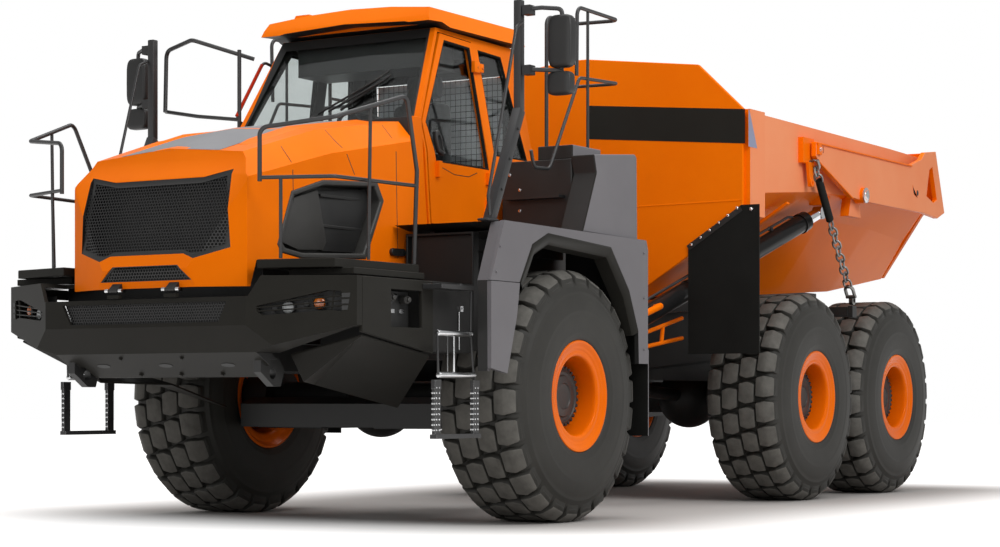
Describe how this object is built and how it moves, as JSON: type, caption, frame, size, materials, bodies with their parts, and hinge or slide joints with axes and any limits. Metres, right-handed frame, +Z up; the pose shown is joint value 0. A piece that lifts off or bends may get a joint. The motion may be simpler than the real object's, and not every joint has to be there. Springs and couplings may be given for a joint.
{
  "type": "articulated dump truck",
  "caption": "Six-wheel articulated dump truck with a tipping bed, chain-lifted tailgate, sloped hood, glazed cab, deep bumper and railed decks.",
  "frame": {"origin": "on the ground, under the middle of the whole truck", "axes": "+X forward, +Y to the left, +Z up"},
  "size_m": [10.789, 4.14, 3.9669],
  "materials": {
    "tyre_rubber": "moulded matt black with hexagonal blocks",
    "orange_paint": "glossy orange enamel",
    "wheel_orange": "semi-gloss orange enamel",
    "grey_paint": "satin dark grey enamel",
    "black_paint": "satin black enamel",
    "frame_paint": "matt black chassis paint",
    "engine_metal": "painted cast block",
    "radiator_fins": "dull finned core",
    "mesh_black": "perforated black mesh",
    "moulded_black": "grained black moulding",
    "lamp_lens": "clear ribbed lens",
    "tinted_glass": "lightly tinted safety glass",
    "seat_cloth": "woven black seat cloth",
    "rubber_sheet": "flat matt rubber sheet",
    "black_rail": "satin black tube",
    "polished_step": "worn bright treads on black hangers",
    "cylinder_black": "semi-gloss black cylinder paint",
    "piston_chrome": "hard chrome rod",
    "chain_steel": "zinc-plated chain in a black sleeve"
  },
  "bodies": {
    "chassis": {"front_frame": "frame_paint", "front_axle": "frame_paint", "engine_block": "engine_metal", "radiator": "radiator_fins", "front_bumper": "black_paint", "headlamps": "lamp_lens", "bumper_side_plates": "grey_paint", "belly_plates": "black_paint", "cab_shell": "orange_paint", "cab_cowl": "moulded_black", "cab_roof": "orange_paint", "cab_glass": "tinted_glass", "cab_floor": "frame_paint", "driver_seat": "seat_cloth", "dashboard": "moulded_black", "front_decks": "grey_paint", "side_boxes": "black_paint", "front_fenders": "grey_paint", "rear_cabinets": "grey_paint", "access_steps": "polished_step", "deck_handrails": "black_rail", "platform_handrails": "black_rail", "mirrors": "moulded_black"},
    "hood": {"hood_shell": "orange_paint", "hood_grille": "mesh_black", "hood_intakes": "grey_paint"},
    "door": {"cab_door": "orange_paint", "door_glass": "tinted_glass"},
    "hitch": {"turning_hitch": "frame_paint"},
    "rear_chassis": {"rear_frame": "frame_paint", "rear_axle": "frame_paint", "tandem_beams": "frame_paint"},
    "bed": {"bed_floor": "orange_paint", "bed_sides": "orange_paint", "bed_front_wall": "orange_paint", "bed_mudflaps": "rubber_sheet"},
    "tailgate": {"tailgate_arms": "orange_paint", "tailgate_plate": "orange_paint"},
    "chain_left": {"tailgate_chain_left": "chain_steel"},
    "hoist_barrel_left": {"hoist_barrel_left": "cylinder_black"},
    "hoist_rod_left": {"hoist_rod_left": "piston_chrome"},
    "steer_barrel_left": {"steer_barrel_left": "cylinder_black"},
    "steer_rod_left": {"steer_rod_left": "piston_chrome"},
    "chain_right": {"tailgate_chain_right": "chain_steel"},
    "hoist_barrel_right": {"hoist_barrel_right": "cylinder_black"},
    "hoist_rod_right": {"hoist_rod_right": "piston_chrome"},
    "steer_barrel_right": {"steer_barrel_right": "cylinder_black"},
    "steer_rod_right": {"steer_rod_right": "piston_chrome"},
    "wheel_front_left": {"front_left_tyre": "tyre_rubber", "front_left_rim": "wheel_orange"},
    "wheel_front_right": {"front_right_tyre": "tyre_rubber", "front_right_rim": "wheel_orange"},
    "wheel_mid_left": {"mid_left_tyre": "tyre_rubber", "mid_left_rim": "wheel_orange"},
    "wheel_mid_right": {"mid_right_tyre": "tyre_rubber", "mid_right_rim": "wheel_orange"},
    "wheel_rear_left": {"rear_left_tyre": "tyre_rubber", "rear_left_rim": "wheel_orange"},
    "wheel_rear_right": {"rear_right_tyre": "tyre_rubber", "rear_right_rim": "wheel_orange"}
  },
  "joints": [
    {"name": "hitch_roll", "type": "hinge", "parent": "chassis", "child": "hitch", "pos_m": [1.358, 0, 1.15], "axis": [1, 0, 0], "range_deg": [-12, 12]},
    {"name": "articulation", "type": "hinge", "parent": "hitch", "child": "rear_chassis", "pos_m": [0.828, 0, 1.15], "axis": [0, 0, 1], "range_deg": [-45, 45]},
    {"name": "bed_tip", "type": "hinge", "parent": "rear_chassis", "child": "bed", "pos_m": [-4.312, 0, 1.75], "axis": [0, -1, 0], "range_deg": [0, 68]},
    {"name": "hood_tilt", "type": "hinge", "parent": "chassis", "child": "hood", "pos_m": [5.383, 0, 1.652], "axis": [0, 1, 0], "range_deg": [0, 70]},
    {"name": "door_swing", "type": "hinge", "parent": "chassis", "child": "door", "pos_m": [2.328, 0.905, 2.9], "axis": [0, 0, 1], "range_deg": [0, 50]},
    {"name": "tailgate_lift", "type": "hinge", "parent": "bed", "child": "tailgate", "pos_m": [-2.922, 0, 2.85], "axis": [0, 1, 0], "range_deg": [0, 93.2]},
    {"name": "chain_swing_left", "type": "hinge", "parent": "rear_chassis", "child": "chain_left", "pos_m": [-2.822, 1.705, 1.85], "axis": [0, -1, 0], "range_deg": [0, 70.65]},
    {"name": "hoist_swing_left", "type": "hinge", "parent": "rear_chassis", "child": "hoist_barrel_left", "pos_m": [0.078, 0.842, 1.535], "axis": [0.4748, 0.3871, 0.7904], "range_deg": [0, 7.99]},
    {"name": "hoist_extend_left", "type": "slide", "parent": "hoist_barrel_left", "child": "hoist_rod_left", "axis": [-0.8788, 0.2575, 0.4017], "range_m": [0, 2.34462]},
    {"name": "chain_swing_right", "type": "hinge", "parent": "rear_chassis", "child": "chain_right", "pos_m": [-2.822, -1.705, 1.85], "axis": [0, -1, 0], "range_deg": [0, 70.65]},
    {"name": "hoist_swing_right", "type": "hinge", "parent": "rear_chassis", "child": "hoist_barrel_right", "pos_m": [0.078, -0.842, 1.535], "axis": [-0.4748, 0.3871, -0.7904], "range_deg": [0, 7.99]},
    {"name": "hoist_extend_right", "type": "slide", "parent": "hoist_barrel_right", "child": "hoist_rod_right", "axis": [-0.8788, -0.2575, 0.4017], "range_m": [0, 2.34462]},
    {"name": "steer_swing_left", "type": "hinge", "parent": "rear_chassis", "child": "steer_barrel_left", "pos_m": [-0.122, 0.72, 1.15], "axis": [0, 0, 1], "range_deg": [-1.91, 1.91]},
    {"name": "steer_extend_left", "type": "slide", "parent": "steer_barrel_left", "child": "steer_rod_left", "axis": [0.9612, -0.2758, 0], "range_m": [-0.31065, 0.31065]},
    {"name": "steer_swing_right", "type": "hinge", "parent": "rear_chassis", "child": "steer_barrel_right", "pos_m": [-0.122, -0.72, 1.15], "axis": [0, 0, 1], "range_deg": [-1.91, 1.91]},
    {"name": "steer_extend_right", "type": "slide", "parent": "steer_barrel_right", "child": "steer_rod_right", "axis": [0.9612, 0.2758, 0], "range_m": [-0.31065, 0.31065]},
    {"name": "spin_front_left", "type": "hinge", "parent": "chassis", "child": "wheel_front_left", "pos_m": [2.544, 1.44, 0.9375], "axis": [0, 1, 0], "continuous": true},
    {"name": "spin_front_right", "type": "hinge", "parent": "chassis", "child": "wheel_front_right", "pos_m": [2.544, -1.44, 0.9375], "axis": [0, 1, 0], "continuous": true},
    {"name": "spin_mid_left", "type": "hinge", "parent": "rear_chassis", "child": "wheel_mid_left", "pos_m": [-1.806, 1.44, 0.9375], "axis": [0, 1, 0], "continuous": true},
    {"name": "spin_mid_right", "type": "hinge", "parent": "rear_chassis", "child": "wheel_mid_right", "pos_m": [-1.806, -1.44, 0.9375], "axis": [0, 1, 0], "continuous": true},
    {"name": "spin_rear_left", "type": "hinge", "parent": "rear_chassis", "child": "wheel_rear_left", "pos_m": [-3.756, 1.44, 0.9375], "axis": [0, 1, 0], "continuous": true},
    {"name": "spin_rear_right", "type": "hinge", "parent": "rear_chassis", "child": "wheel_rear_right", "pos_m": [-3.756, -1.44, 0.9375], "axis": [0, 1, 0], "continuous": true}
  ],
  "couplings": [
    {"joint": "tailgate_lift", "follows": "bed_tip", "ratio": 1.3632},
    {"joint": "chain_swing_left", "follows": "bed_tip", "ratio": 1.0316},
    {"joint": "hoist_swing_left", "follows": "bed_tip", "ratio": 0.11014},
    {"joint": "hoist_extend_left", "follows": "bed_tip", "m_per_rad": 1.9739},
    {"joint": "chain_swing_right", "follows": "bed_tip", "ratio": 1.0316},
    {"joint": "hoist_swing_right", "follows": "bed_tip", "ratio": 0.11014},
    {"joint": "hoist_extend_right", "follows": "bed_tip", "m_per_rad": 1.9739},
    {"joint": "steer_swing_left", "follows": "articulation", "ratio": -0.031345},
    {"joint": "steer_extend_left", "follows": "articulation", "m_per_rad": 0.39299},
    {"joint": "steer_swing_right", "follows": "articulation", "ratio": -0.031345},
    {"joint": "steer_extend_right", "follows": "articulation", "m_per_rad": -0.39299}
  ]
}
